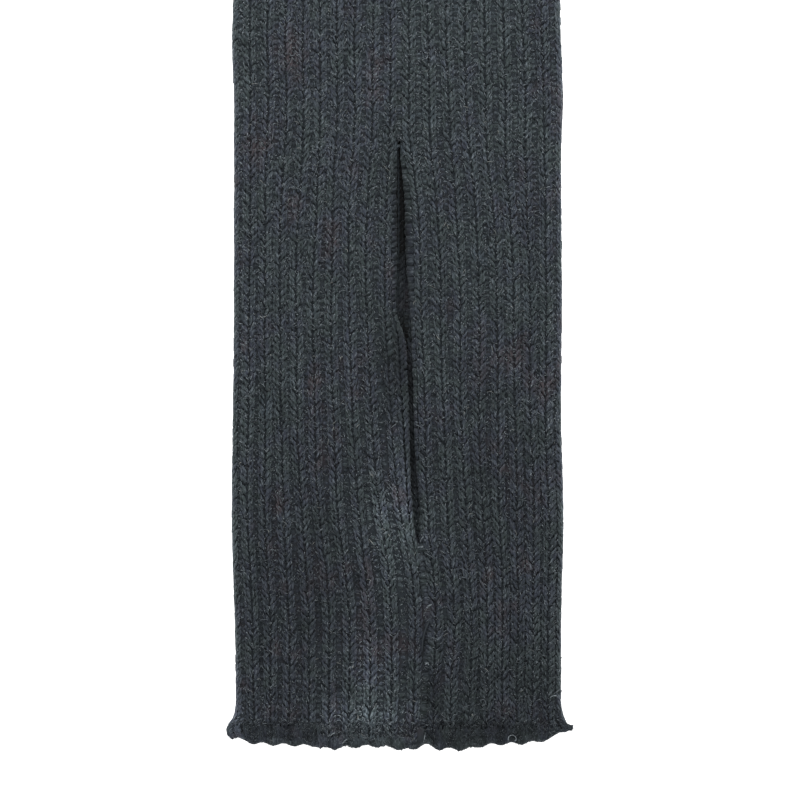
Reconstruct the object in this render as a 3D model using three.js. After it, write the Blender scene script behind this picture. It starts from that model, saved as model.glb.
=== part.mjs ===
// One ribbed leg warmer, laid flat with its calf side up: a knitted tube with a heel slit
// and a lettuce hem at the foot. Millimetres, +Z up, +Y from the foot hem to the knee end.
import * as THREE from 'three';

// Driving sizes of the tube as it lies
const LENGTH = 500;
const HALF_WIDTH = 52.5;
const LAYER = 2.75;
const LAYER_GAP = 0.3;
const SEAM_GAP = 0.3;
const RIBS_LEFT = 9.5;
const RIBS_RIGHT = 8.5;
const STEPS_PER_RIB = 4;

// Heights, from the surface that it lies on
const SHIN_INSIDE = LAYER;
const FOLD_RADIUS = 3.7;
const FOLD_FACE = 0.7;
const FOLD_ANGLES = [0, 30, 60, 90];

// Distances along the tube, up from the crease above the hem's frill
const HEM_DEPTH = 6.7;
const HEM_START = 2.6;
const SLIT_END = 58.5;
const SLIT_APEX = 186.5;
const KNEE_END = LENGTH - HEM_DEPTH;

// The outline of the tube's two sides
const SIDES = [
  { up: 0, left: -51.4, right: 52.2 },
  { up: 10, left: -51.4, right: 52 },
  { up: 29, left: -51.6, right: 52 },
  { up: 67, left: -52.7, right: 52.7 },
  { up: 105, left: -52.3, right: 52 },
  { up: 137, left: -52, right: 52.3 },
  { up: 182, left: -52, right: 52 },
  { up: 201, left: -52, right: 52.6 },
  { up: 220, left: -52.6, right: 52 },
  { up: 240, left: -52, right: 51.6 },
  { up: 300, left: -HALF_WIDTH, right: HALF_WIDTH },
  { up: 400, left: -52.2, right: 52.2 },
  { up: KNEE_END, left: -HALF_WIDTH, right: HALF_WIDTH },
];

// The two lips of the slit, which meet in the back seam above and below it
const LIPS = [
  { up: -HEM_DEPTH, left: 8.4, right: 8.4 },
  { up: 2, left: 8.5, right: 8.5 },
  { up: 16, left: 9.1, right: 9.1 },
  { up: 24, left: 9.9, right: 9.9 },
  { up: 31, left: 10.3, right: 10.3 },
  { up: 38, left: 9.8, right: 9.8 },
  { up: 48, left: 8.4, right: 8.4 },
  { up: 57, left: 7.3, right: 7.3 },
  { up: SLIT_END, left: 7.1, right: 7.1 },
  { up: 62, left: 6, right: 6.9 },
  { up: 70, left: 5.2, right: 6.9 },
  { up: 78, left: 4.5, right: 6.4 },
  { up: 88, left: 4.2, right: 5.6 },
  { up: 100, left: 4, right: 5.2 },
  { up: 112, left: 3.5, right: 5 },
  { up: 122, left: 3.1, right: 4.7 },
  { up: 127, left: 1.9, right: 4.6 },
  { up: 134, left: -0.4, right: 4.5 },
  { up: 140, left: -0.8, right: 4.4 },
  { up: 153, left: -0.9, right: 4.1 },
  { up: 169, left: -1.1, right: 3.3 },
  { up: 177, left: -0.7, right: 2.3 },
  { up: 182, left: -0.2, right: 1.3 },
  { up: SLIT_APEX, left: 0.5, right: 0.5 },
  { up: 210, left: 0.5, right: 0.5 },
  { up: 300, left: 0, right: 0 },
  { up: KNEE_END, left: 0, right: 0 },
];

// Where the ribs are counted from: they run past the bends of the lips. Below the upper part of
// the slit they crowd towards the sides.
const CROWDED = 0.15;
const CROWDED_BELOW = 130;
const EVEN_ABOVE = 210;
const RIB_STARTS = [
  { up: -HEM_DEPTH, left: 8.4, right: 8.4 },
  { up: 16, left: 9, right: 8.9 },
  { up: 31, left: 9.2, right: 9.6 },
  { up: 48, left: 8, right: 8.7 },
  { up: SLIT_END, left: 6.3, right: 7.4 },
  { up: 72, left: 3.9, right: 6.5 },
  { up: 88, left: 2.1, right: 5.7 },
  { up: 110, left: 0.6, right: 5 },
  { up: 134, left: -0.6, right: 4.5 },
  { up: 153, left: -0.9, right: 4.1 },
  { up: 169, left: -0.8, right: 3.3 },
  { up: 180, left: -0.3, right: 2 },
  { up: 194, left: 0.3, right: 0.8 },
  { up: 230, left: 0.3, right: 0.3 },
  { up: 300, left: 0, right: 0 },
  { up: KNEE_END, left: 0, right: 0 },
];

// How high the rib crowns stand over the grooves: the foot end is pulled into deeper ribs
const RELIEF = [
  { up: HEM_START, height: 0.7 },
  { up: 20, height: 0.95 },
  { up: 75, height: 0.95 },
  { up: 130, height: 0.75 },
  { up: KNEE_END, height: 0.7 },
];

// The lower edge of the hem, from the left side to the right one
const HEM_EDGE = [
  { across: -55.5, up: -1.2 },
  { across: -50, up: -2.3 },
  { across: -46.5, up: -4 },
  { across: -42, up: -4.4 },
  { across: -30, up: -4.9 },
  { across: -25.5, up: -5.1 },
  { across: -24.5, up: -5.9 },
  { across: -8, up: -5 },
  { across: 4, up: -6.2 },
  { across: 8.6, up: -4.6 },
  { across: 13, up: -6 },
  { across: 20, up: -6.2 },
  { across: 30, up: -4.6 },
  { across: 42, up: -4 },
  { across: 50, up: -2.4 },
  { across: 56, up: -0.6 },
];
const SCALLOP_LENGTH = 6.6;
const SCALLOP_DEPTH = 0.5;
const SCALLOP_WAVE = 0.3;

// How the frill lies from the crease to the edge: each share of its depth and what it does there
const FRILL = [
  { share: 0, shinInside: SHIN_INSIDE, layer: LAYER, raised: 0, flare: 0 },
  { share: 0.28, shinInside: 2.5, layer: 1.9, raised: 0.9, flare: 0.6 },
  { share: 0.55, shinInside: 2.1, layer: 2.1, raised: 1.5, flare: 1 },
  { share: 0.8, shinInside: 1.8, layer: 1.9, raised: 2, flare: 0.8 },
  { share: 1, shinInside: 1.4, layer: 1.4, raised: 2.2, flare: 0.45 },
];
const FRILL_SHARES = FRILL.map((row) => row.share).reverse();
const FLARE_LEFT = 3.4;
const FLARE_RIGHT = 3.8;
const FLARE_REACH = 6;
const RAISED_FROM = -25.2;
const RAISED_EDGE = 0.6;
const RAISED_RAMP = 18;
const RAISED_BEFORE = 0.6;
const RAISED_SHARP_FROM = 0.5;
const RIBS_FADE_BY = 0.5;

// The lip's rounding: how far in from the lip, and how far down, for a full roll
const LIP_ROLL = [
  { inward: 0, down: 1.3 },
  { inward: 0.4, down: 0.5 },
  { inward: 1.1, down: 0.1 },
];
const LIP_CLEAR = 1.15;
const LIP_STEP = 0.1;
const ROLL_IN_SLIT = 1;
const ROLL_IN_SEAM = 0.75;
const ROLL_ABOVE = 0.3;
const ROLL_LOST_IN_FRILL = 0.6;

// The swell beside the slit's closed end, and the two places where a lip sinks: the left one
// in the middle of the slit, and the right one in the seam near the hem
const SWELL = { across: 1.5, up: 66, reachAcross: 5.5, reachUp: 15, height: 1.4 };
const SINK_LEFT = { up: 118, reachAcross: 4, reachUp: 14, depth: 1.3 };
const SINK_RIGHT = { up: 8, reachAcross: 3, reachUp: 11, depth: 1.1 };

// Rows along the tube, close together only where the outline or the lips bend
const CALF_ROWS = [
  6, 11, 17, 24, 31, 38, 47, 54, SLIT_END, 61, 66, 72, 79, 88, 98, 108, 117, 122, 125, 128, 131,
  134, 139, 148, 158, 166, 172, 177, 181, 184.5, SLIT_APEX, 193, 206, 225, 260, 300, 350, 400, 450,
  KNEE_END - 8, KNEE_END - 1.5, KNEE_END,
];
const SHIN_ROWS = [
  8, 18, 32, 50, 67, 86, 105, 137, 160, 182, 201, 220, 250, 300, 350, 400, 450,
  KNEE_END - 1.5, KNEE_END,
];
const SHIN_COLUMNS = 26;
const INSIDE_COLUMNS = 9;
const RIBS_IN_FOLD = 0.75;
const BOUND_OFF_DROP = 0.5;
const BOUND_OFF_REACH = 2;

// Smooth reading of one column of a table whose rows rise with key, without overshoot
function read(table, key, column, at) {
  const last = table.length - 1;
  if (at <= table[0][key]) return table[0][column];
  if (at >= table[last][key]) return table[last][column];
  const next = table.findIndex((row) => row[key] > at);
  const rise = (i) => {
    const [from, to] = [table[i], table[i + 1]];
    return (to[column] - from[column]) / (to[key] - from[key]);
  };
  const slope = (i) => {
    if (i === 0 || i === last) return 0;
    const [before, after] = [rise(i - 1), rise(i)];
    return before * after > 0 ? (2 * before * after) / (before + after) : 0;
  };
  const [a, b] = [table[next - 1], table[next]];
  const span = b[key] - a[key];
  const t = (at - a[key]) / span;
  const start = (1 + 2 * t) * (1 - t) ** 2 * a[column] + t * (1 - t) ** 2 * span * slope(next - 1);
  const finish = t * t * (3 - 2 * t) * b[column] + t * t * (t - 1) * span * slope(next);
  return start + finish;
}

// 0 before low, 1 after high, and smooth between them
function ease(value, low, high) {
  return THREE.MathUtils.smoothstep(value, low, high);
}

function bell(distance, reach) {
  return Math.exp(-((distance / reach) ** 2));
}

// The scalloped edge, and where a point of the frill lies for its share of the depth
function hemEdge(across) {
  const scallop = Math.cos((2 * Math.PI * across) / SCALLOP_LENGTH);
  return read(HEM_EDGE, 'across', 'up', across) - SCALLOP_DEPTH * scallop;
}

function frillUp(across, share) {
  return HEM_START + (hemEdge(across) - HEM_START) * share;
}

function frillFlare(across, share) {
  const flare = across < 0 ? -FLARE_LEFT : FLARE_RIGHT;
  const bySide = ease(Math.abs(across), HALF_WIDTH - FLARE_REACH, HALF_WIDTH);
  return flare * bySide * read(FRILL, 'share', 'flare', share);
}

// The stretch of the hem left of the seam that curls up, and its start further up the tube
function raised(across, up, share, lip) {
  const sharpness = Math.min(1, share / RAISED_SHARP_FROM);
  const edge = THREE.MathUtils.lerp(RAISED_RAMP / 2, RAISED_EDGE, sharpness);
  const along = ease(across, RAISED_FROM - edge, RAISED_FROM + edge);
  const ramp = RAISED_BEFORE * ease(-up, -RAISED_RAMP, 0);
  const beforeSeam = across <= lip ? 1 : 0;
  return beforeSeam * along * (ramp + read(FRILL, 'share', 'raised', share));
}

function swell(across, up, lip) {
  if (across > lip) return 0;
  const { height, reachAcross, reachUp } = SWELL;
  return height * bell(across - SWELL.across, reachAcross) * bell(up - SWELL.up, reachUp);
}

function sunken(half, across, up, lip) {
  const { depth, reachAcross, reachUp } = half.sink;
  return depth * bell(lip - across, reachAcross) * bell(up - half.sink.up, reachUp);
}

function lipRoll(up) {
  if (up > SLIT_APEX) return ROLL_ABOVE;
  return up > SLIT_END ? ROLL_IN_SLIT : ROLL_IN_SEAM;
}

// A closed wall from two grids of points with the same rows: one faces up, one faces down
function wall(name, upward, downward, material) {
  const positions = [];
  const triangles = [];
  const place = (grid) => grid.map((row) => row.map((point) => positions.push(...point) / 3 - 1));
  const above = place(upward);
  const below = place(downward);
  const quad = (a, b, c, d) => triangles.push(a, b, c, a, c, d);
  const cover = (grid, facesUp) => {
    for (let i = 0; i + 1 < grid.length; i++) {
      for (let j = 0; j + 1 < grid[i].length; j++) {
        const [a, b, c, d] = [grid[i][j], grid[i][j + 1], grid[i + 1][j + 1], grid[i + 1][j]];
        if (facesUp) quad(a, b, c, d);
        else quad(a, d, c, b);
      }
    }
  };
  cover(above, true);
  cover(below, false);
  for (let i = 0; i + 1 < above.length; i++) {
    const [top, nextTop, bottom, nextBottom] = [above[i], above[i + 1], below[i], below[i + 1]];
    quad(top[0], nextTop[0], nextBottom[0], bottom[0]);
    quad(top.at(-1), bottom.at(-1), nextBottom.at(-1), nextTop.at(-1));
  }
  closeEnd(positions, triangles, above[0], below[0], false);
  closeEnd(positions, triangles, above.at(-1), below.at(-1), true);
  const geometry = new THREE.BufferGeometry();
  geometry.setAttribute('position', new THREE.Float32BufferAttribute(positions, 3));
  geometry.setIndex(triangles);
  geometry.computeVertexNormals();
  const mesh = new THREE.Mesh(geometry, material);
  mesh.name = name;
  return mesh;
}

// Triangles between an upper and a lower row of points, whichever of the two lags in X first
function closeEnd(positions, triangles, upper, lower, farEnd) {
  let [i, j] = [0, 0];
  const acrossOf = (index) => positions[3 * index];
  while (i + 1 < upper.length || j + 1 < lower.length) {
    const lowerDone = j + 1 >= lower.length;
    const upperLags = () => acrossOf(upper[i + 1]) <= acrossOf(lower[j + 1]);
    const upperNext = i + 1 < upper.length && (lowerDone || upperLags());
    const third = upperNext ? upper[i + 1] : lower[j + 1];
    if (farEnd) triangles.push(upper[i], third, lower[j]);
    else triangles.push(upper[i], lower[j], third);
    if (upperNext) i++;
    else j++;
  }
}

// The columns of one calf half, from the side fold to the lip, as ribs counted from the lip
function ribColumns(ribs) {
  const columns = [];
  for (let step = (ribs - RIBS_IN_FOLD) * STEPS_PER_RIB; step >= 1; step--) {
    columns.push(step / STEPS_PER_RIB);
  }
  return columns;
}

// One row across a calf half: the fold's arc, the ribs and the rolled lip
function calfRow(half, up, share) {
  const lip = read(LIPS, 'up', half.side, up) + half.out * (SEAM_GAP / 2);
  const side = read(SIDES, 'up', half.side, up);
  const start = read(RIB_STARTS, 'up', half.side, up);
  const inner = (across) => {
    const base = read(FRILL, 'share', 'shinInside', share) + LAYER_GAP;
    const lifted = half.curls ? raised(across, up, share, lip) + swell(across, up, lip) : 0;
    const wave = share * SCALLOP_WAVE * (1 + Math.sin((2 * Math.PI * across) / SCALLOP_LENGTH));
    return base + lifted + wave;
  };
  const layer = read(FRILL, 'share', 'layer', share);
  const relief = read(RELIEF, 'up', 'height', up) * (1 - ease(share, 0, RIBS_FADE_BY));
  const bound = BOUND_OFF_DROP * ease(up, KNEE_END - BOUND_OFF_REACH, KNEE_END);
  const crowding = CROWDED * (1 - ease(up, CROWDED_BELOW, EVEN_ABOVE));
  const top = (across) => inner(across) + layer - sunken(half, across, up, lip) - bound;
  const settle = (across, height) => [
    across + frillFlare(across, share),
    share > 0 ? frillUp(across, share) : up,
    height,
  ];
  const outer = FOLD_ANGLES.map((angle) => {
    const turn = THREE.MathUtils.degToRad(angle);
    const across = side - half.out * FOLD_RADIUS * (1 - Math.cos(turn));
    const foot = inner(across) + FOLD_FACE;
    return settle(across, foot + (top(across) - foot - relief / 2) * Math.sin(turn));
  });
  ribColumns(half.ribs).forEach((count) => {
    const crown = (1 + Math.cos(2 * Math.PI * (count - 0.5))) / 2;
    const part = count / half.ribs;
    const reached = part + part * (1 - part) * crowding;
    const fromLip = half.out * (start - lip + (side - start) * reached);
    const across = lip + half.out * Math.max(fromLip, LIP_CLEAR + count * LIP_STEP);
    outer.push(settle(across, top(across) - relief * (1 - crown)));
  });
  [...LIP_ROLL].reverse().forEach(({ inward, down }) => {
    const across = lip + half.out * inward;
    const roll = lipRoll(up) * (1 - ROLL_LOST_IN_FRILL * share);
    outer.push(settle(across, top(across) - down * roll));
  });
  const inside = [];
  for (let i = 0; i <= INSIDE_COLUMNS; i++) {
    const across = THREE.MathUtils.lerp(side, lip, i / INSIDE_COLUMNS);
    inside.push(settle(across, inner(across)));
  }
  return half.out < 0 ? { outer, inside } : { outer: outer.reverse(), inside: inside.reverse() };
}

function calfHalf(name, half, material) {
  const frill = FRILL_SHARES.map((share) => calfRow(half, share > 0 ? 0 : HEM_START, share));
  const body = CALF_ROWS.map((up) => calfRow(half, up, 0));
  const rows = [...frill, ...body];
  return wall(name, rows.map((row) => row.outer), rows.map((row) => row.inside), material);
}

// One row across the shin side: level inside, flat underneath and round at both folds
function shinRow(up, share) {
  const left = read(SIDES, 'up', 'left', up);
  const right = read(SIDES, 'up', 'right', up);
  const inside = read(FRILL, 'share', 'shinInside', share);
  const settle = (across, height) => [
    across + frillFlare(across, share),
    share > 0 ? frillUp(across, share) : up,
    height,
  ];
  const top = [];
  for (let i = 0; i <= SHIN_COLUMNS; i++) {
    top.push(settle(THREE.MathUtils.lerp(left, right, i / SHIN_COLUMNS), inside));
  }
  const arc = FOLD_ANGLES.map((angle) => {
    const turn = THREE.MathUtils.degToRad(angle);
    const height = (inside - FOLD_FACE) * (1 - Math.sin(turn));
    return { inward: FOLD_RADIUS * (1 - Math.cos(turn)), height };
  });
  const under = arc.map(({ inward, height }) => settle(left + inward, height));
  const flatFrom = left + FOLD_RADIUS;
  const flatTo = right - FOLD_RADIUS;
  for (let i = 1; i < SHIN_COLUMNS; i++) {
    under.push(settle(THREE.MathUtils.lerp(flatFrom, flatTo, i / SHIN_COLUMNS), 0));
  }
  [...arc].reverse().forEach(({ inward, height }) => under.push(settle(right - inward, height)));
  return { top, under };
}

function shinSide(name, material) {
  const frill = FRILL_SHARES.map((share) => shinRow(share > 0 ? 0 : HEM_START, share));
  const body = SHIN_ROWS.map((up) => shinRow(up, 0));
  const rows = [...frill, ...body];
  return wall(name, rows.map((row) => row.top), rows.map((row) => row.under), material);
}

// Soft dark wool-blend yarn, alike on every side
const ribKnit = new THREE.MeshStandardMaterial({ color: '#383c40', roughness: 0.95, metalness: 0 });

const LEFT_HALF = { side: 'left', out: -1, ribs: RIBS_LEFT, curls: true, sink: SINK_LEFT };
const RIGHT_HALF = { side: 'right', out: 1, ribs: RIBS_RIGHT, curls: false, sink: SINK_RIGHT };

const legWarmer = new THREE.Group();
legWarmer.add(shinSide('shin_side', ribKnit));
legWarmer.add(calfHalf('calf_left', LEFT_HALF, ribKnit));
legWarmer.add(calfHalf('calf_right', RIGHT_HALF, ribKnit));

// The origin is under the middle of the piece, on the surface that it lies on
const box = new THREE.Box3().setFromObject(legWarmer);
const middle = box.getCenter(new THREE.Vector3());
legWarmer.position.set(-middle.x, -middle.y, -box.min.z);
legWarmer.updateMatrixWorld(true);

export default legWarmer;
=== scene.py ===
import math

import bpy
import numpy as np
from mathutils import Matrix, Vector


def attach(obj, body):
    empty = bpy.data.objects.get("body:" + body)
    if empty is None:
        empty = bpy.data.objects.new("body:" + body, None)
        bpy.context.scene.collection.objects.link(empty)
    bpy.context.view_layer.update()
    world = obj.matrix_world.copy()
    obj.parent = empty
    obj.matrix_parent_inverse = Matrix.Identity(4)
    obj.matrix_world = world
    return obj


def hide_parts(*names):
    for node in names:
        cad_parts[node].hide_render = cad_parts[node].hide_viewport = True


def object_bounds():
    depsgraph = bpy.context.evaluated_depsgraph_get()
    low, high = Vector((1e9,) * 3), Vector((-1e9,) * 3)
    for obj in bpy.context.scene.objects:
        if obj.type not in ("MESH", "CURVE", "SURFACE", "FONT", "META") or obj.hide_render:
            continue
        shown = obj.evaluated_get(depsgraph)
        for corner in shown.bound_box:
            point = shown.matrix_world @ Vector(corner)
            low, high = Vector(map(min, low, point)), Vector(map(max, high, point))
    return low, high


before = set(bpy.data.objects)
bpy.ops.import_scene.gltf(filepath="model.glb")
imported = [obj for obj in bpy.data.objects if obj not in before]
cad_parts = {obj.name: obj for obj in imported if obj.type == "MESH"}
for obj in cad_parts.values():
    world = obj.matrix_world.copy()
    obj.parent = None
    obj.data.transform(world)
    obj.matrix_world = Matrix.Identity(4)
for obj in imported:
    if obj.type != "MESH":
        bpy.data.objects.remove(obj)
cad_low, cad_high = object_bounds()

# Sizes are in millimetres, and a mesh is brought to metres when it is made
MM = 0.001
NEARLY_ZERO = 1e-9
NEARLY_CENTRAL = 1e-6
RANDOM = np.random.default_rng(11)


def table(columns, *rows):
    """A short table, as one array for each named column."""
    return dict(zip(columns.split(), np.array(rows, float).T))


# Driving sizes of the tube, the same as its solids'
LENGTH = 500
HEM_DEPTH = 6.7
HEM_START = 2.6
KNEE_END = LENGTH - HEM_DEPTH
LAYER_GAP = 0.3
FOLD_RADIUS = 3.7
SLIT_END = 58.5
SLIT_APEX = 186.5
# The frame's origin lies under the middle of the piece
ACROSS_MIDDLE = 0.74
UP_MIDDLE = KNEE_END - cad_high.y / MM

# Ribs round the tube, counted from the left lip over the shin side to the right lip
RIBS_LEFT = 9.5
RIBS_SHIN = 19
RIBS_RIGHT = 8.5
RIBS = round(RIBS_LEFT + RIBS_SHIN + RIBS_RIGHT)
# The first rib's crown lies half a rib from the lip
CROWN = 0.5
CROWDED = 0.15
CROWDED_BELOW = 130
EVEN_ABOVE = 210

SIDES = table(
    "up left right",
    (0, -51.4, 52.2),
    (10, -51.4, 52),
    (29, -51.6, 52),
    (67, -52.7, 52.7),
    (105, -52.3, 52),
    (137, -52, 52.3),
    (182, -52, 52),
    (201, -52, 52.6),
    (220, -52.6, 52),
    (240, -52, 51.6),
    (300, -52.5, 52.5),
    (400, -52.2, 52.2),
    (KNEE_END, -52.5, 52.5),
)
# The two lips of the slit, which meet in the back seam above and below it
LIPS = table(
    "up left right",
    (-HEM_DEPTH, 8.4, 8.4),
    (2, 8.5, 8.5),
    (16, 9.1, 9.1),
    (24, 9.9, 9.9),
    (31, 10.3, 10.3),
    (38, 9.8, 9.8),
    (48, 8.4, 8.4),
    (57, 7.3, 7.3),
    (SLIT_END, 7.1, 7.1),
    (62, 6, 6.9),
    (70, 5.2, 6.9),
    (78, 4.5, 6.4),
    (88, 4.2, 5.6),
    (100, 4, 5.2),
    (112, 3.5, 5),
    (122, 3.1, 4.7),
    (127, 1.9, 4.6),
    (134, -0.4, 4.5),
    (140, -0.8, 4.4),
    (153, -0.9, 4.1),
    (169, -1.1, 3.3),
    (177, -0.7, 2.3),
    (182, -0.2, 1.3),
    (SLIT_APEX, 0.5, 0.5),
    (210, 0.5, 0.5),
    (300, 0, 0),
    (KNEE_END, 0, 0),
)
# Where the ribs are counted from: they run past the bends of the lips
RIB_STARTS = table(
    "up left right",
    (-HEM_DEPTH, 8.4, 8.4),
    (16, 9, 8.9),
    (31, 9.2, 9.6),
    (48, 8, 8.7),
    (SLIT_END, 6.3, 7.4),
    (72, 3.9, 6.5),
    (88, 2.1, 5.7),
    (110, 0.6, 5),
    (134, -0.6, 4.5),
    (153, -0.9, 4.1),
    (169, -0.8, 3.3),
    (180, -0.3, 2),
    (194, 0.3, 0.8),
    (230, 0.3, 0.3),
    (300, 0, 0),
    (KNEE_END, 0, 0),
)
# The lower edge of the hem, from the left side to the right one
HEM_EDGE = table(
    "across up",
    (-55.5, -1.2),
    (-50, -2.3),
    (-46.5, -4),
    (-42, -4.4),
    (-30, -4.9),
    (-25.5, -5.1),
    (-24.5, -5.9),
    (-8, -5),
    (4, -6.2),
    (8.6, -4.6),
    (13, -6),
    (20, -6.2),
    (30, -4.6),
    (42, -4),
    (50, -2.4),
    (56, -0.6),
)
SCALLOP_LENGTH = 6.6
SCALLOP_DEPTH = 0.5
SCALLOP_WAVE = 0.3
# How the frill lies from the crease to the edge, by the share of its depth
FRILL = table(
    "share inside layer raised",
    (0, 2.75, 2.75, 0),
    (0.28, 2.5, 1.9, 0.9),
    (0.55, 2.1, 2.1, 1.5),
    (0.8, 1.8, 1.9, 2),
    (1, 1.4, 1.4, 2.2),
)
# How far the frill's two ends stand out to the side, and how far they curl up the tube
FLARE = table(
    "along left right",
    (-HEM_DEPTH, 1.5, 1.2),
    (-5, 2.9, 2.7),
    (-3, 3.5, 4),
    (-1.3, 3.6, 3.6),
    (0.5, 3.2, 2.5),
    (2.6, 2, 1.4),
    (4.2, 0.9, 0.8),
    (6.5, 0.3, 0.3),
    (9, 0, 0),
)
TIP_RISE_LEFT = -1
TIP_RISE_RIGHT = 1.5
FLARE_FROM = 46.5
FLARE_TO = 52.5
RAISED_FROM = -25.2
RAISED_EDGE = 0.6
RAISED_RAMP = 18
RAISED_BEFORE = 0.6
RAISED_SHARP_FROM = 0.5
# The lip's rounding: how far in from the lip, and how far down, for a full roll
LIP_ROLL = table("inward down", (0, 1.3), (0.4, 0.5), (1.1, 0.1), (2, 0))
LIP_CLEAR = 1.15
LIP_STEP = 0.1
ROLL_IN_SLIT = 1
ROLL_IN_SEAM = 0.75
ROLL_ABOVE = 0.3
ROLL_LOST_IN_FRILL = 0.6
# The swell beside the slit's closed end, and the two places where a lip sinks
SWELL = dict(across=1.5, up=66, reach_across=5.5, reach_up=15, height=1.4)
SINK_LEFT = dict(up=118, reach_across=4, reach_up=14, depth=1.3)
SINK_RIGHT = dict(up=8, reach_across=3, reach_up=11, depth=1.1)

# How far the grooves lie under the crowns: the foot end is pulled into deeper ribs
RELIEF = table(
    "up height",
    (HEM_START, 0.7),
    (20, 0.95),
    (75, 0.95),
    (130, 0.75),
    (KNEE_END, 0.7),
)
# How far the rolled lips reach into the slit under their edges
LIP_REACH = table(
    "up left right",
    (SLIT_END, 0.2, 0.4),
    (128, 0.3, 0.8),
    (138, 0.9, 1.7),
    (150, 1.5, 2.7),
    (159, 1.7, 2.7),
    (166, 1.7, 2.3),
    (177, 1.3, 1.7),
    (182, 0.6, 1),
    (SLIT_APEX, 0, 0),
)
# The share of the light that is lost in the grooves
GROOVE_SHADE = table(
    "up share",
    (0, 0.17),
    (60, 0.17),
    (130, 0.12),
    (220, 0.07),
    (KNEE_END, 0.08),
)
# Yarn tails and curled fibres: heading is turned to the right from straight up the tube
LOOSE_ENDS = table(
    "across up heading bend size half_width tone",
    (7.9, 25, -0.1, 0.6, 10.5, 0.36, 0.15),
    (9.2, 39, 0.9, 0.6, 3, 0.26, 0.8),
    (8.8, 21, 0.4, 2.5, 2.6, 0.2, 0.9),
    (6.3, 58.3, 1.4, 0.3, 3.2, 0.22, 0.75),
    (7.4, 60, 0.3, 0.8, 2.4, 0.14, 0.8),
    (8.2, -5.4, 0.1, 0.3, 4.4, 0.14, 0.8),
    (8.9, -1, 0.8, 1.2, 3.4, 0.12, 0.6),
    (35.4, -5.3, -0.6, 4.6, 6.5, 0.13, 1),
    (26.4, 9.5, 0.5, 4.4, 4, 0.12, 0.6),
    (48.6, 10.5, 0.6, 1.9, 3, 0.14, 0.8),
    (50.3, 12, 0.5, 2.2, 4.4, 0.1, 0.6),
    (51, 18.5, 0.9, -1.8, 4, 0.1, 0.7),
    (51.2, 21.5, 0.2, 1.6, 3.6, 0.1, 0.5),
    (-49.2, 1.5, 0.2, 1.5, 3.4, 0.1, 0.4),
    (-21.4, -2, 0.7, 0.5, 2, 0.16, 0.9),
    (-17.6, -5.2, 0.6, 0.6, 2.2, 0.16, 0.9),
    (22, 120, 0.5, 2.6, 3.6, 0.12, 0.5),
    (-28, 96, -0.5, 1.9, 3.4, 0.12, 0.5),
)
# Painted shade: places where the stitches' colour is darkened, where the cloth leans from the
# light, in hollows and creases, deep grooves and round the slit; where light_lost is negative,
# light is painted in
PAINTED_LIGHT_AND_SHADE = table(
    "across up reach_across reach_up light_lost",
    (0, 30, 300, 62, 0.13),
    (31, 12, 26, 17, 0.15),
    (30, 78, 19, 26, 0.13),
    (-30, 45, 18, 30, 0.1),
    (-1, 64, 9, 16, -0.68),
    (-9, 13, 8, 17, -0.6),
    (-51, 60, 3, 300, -0.12),
    (52, 60, 3, 300, -0.12),
    (-38, -4, 12, 4.4, 0.4),
    (30, -4.4, 20, 5, 0.42),
    (13, -2, 6, 7, 0.14),
    (-41, 0.4, 11, 0.9, 0.3),
    (30, 0.4, 17, 0.9, 0.25),
    (-7, -7, 14, 4, 0.2),
    (-10, 3.8, 15, 3.8, -0.85),
    (-52, -1, 3, 6, -0.7),
    (0.5, 190, 1.6, 12, 0.22),
    (1.2, 166, 3.6, 24, 0.24),
    (-1, 140, 4, 22, 0.1),
    (0.3, 118, 5, 18, 0.6),
    (-24, 34, 0.9, 9, 0.4),
    (-17.6, 39, 0.9, 11, 0.4),
    (3.3, 33, 0.9, 12, 0.4),
    (12, 10, 2.5, 9, 0.3),
    (0, 130, 300, 50, 0.03),
    (3, 50, 12, 14, -0.07),
    (5, 18, 5, 12, -0.1),
)
# Ribs differ a little from each other in light, and drift along their length
RIB_DRIFT = 0.034
DRIFT_WAVES = table("by_rib wave_length", (2.4, 31), (8.3, -12), (5.1, 4.3), (10.9, 7.9))
# How far the wales stray to the side
WANDER_WAVES = table("size by_rib wave_length", (0.22, 5, 23), (0.15, 11, 9.1))
# One row of stitches, as the photo's scale gives it
COURSE = 1.925


def curve_of(rows, key, column):
    """A smooth function through one column of a table, without overshoot."""
    at, value = rows[key], rows[column]
    rise = np.diff(value) / np.diff(at)
    before, after = rise[:-1], rise[1:]
    turns = before * after <= 0
    total = np.where(turns, 1, before + after)
    slope = np.concatenate([[0], np.where(turns, 0, 2 * before * after / total), [0]])

    def curve(x):
        x = np.clip(x, at[0], at[-1])
        i = np.clip(np.searchsorted(at, x, "right") - 1, 0, len(at) - 2)
        span = at[i + 1] - at[i]
        t = (x - at[i]) / span
        start = (1 + 2 * t) * (1 - t) ** 2 * value[i] + t * (1 - t) ** 2 * span * slope[i]
        finish = t * t * (3 - 2 * t) * value[i + 1] + t * t * (t - 1) * span * slope[i + 1]
        return start + finish

    return curve


def light_lost(turn, along):
    """The share of light painted out of the stitches' colour where the cloth leans, is hollow,
    creased or grooved, with each rib's drift.
    """
    place = envelope(turn, along)
    lost = np.zeros(np.shape(along))
    for across, up, reach_across, reach_up, share in zip(*PAINTED_LIGHT_AND_SHADE.values()):
        beside = bell(place[..., 0] + ACROSS_MIDDLE - across, reach_across)
        lost = lost + share * beside * bell(np.asarray(along) - up, reach_up)
    waves = zip(*DRIFT_WAVES.values())
    drift = sum(np.sin(by_rib * turn + along / wave_length) for by_rib, wave_length in waves)
    return lost + RIB_DRIFT * drift


def ease(value, low, high):
    """0 before low, 1 after high, and smooth between them."""
    t = np.clip((value - low) / (high - low), 0, 1)
    return t * t * (3 - 2 * t)


def bell(distance, reach):
    return np.exp(-((distance / reach) ** 2))


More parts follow.
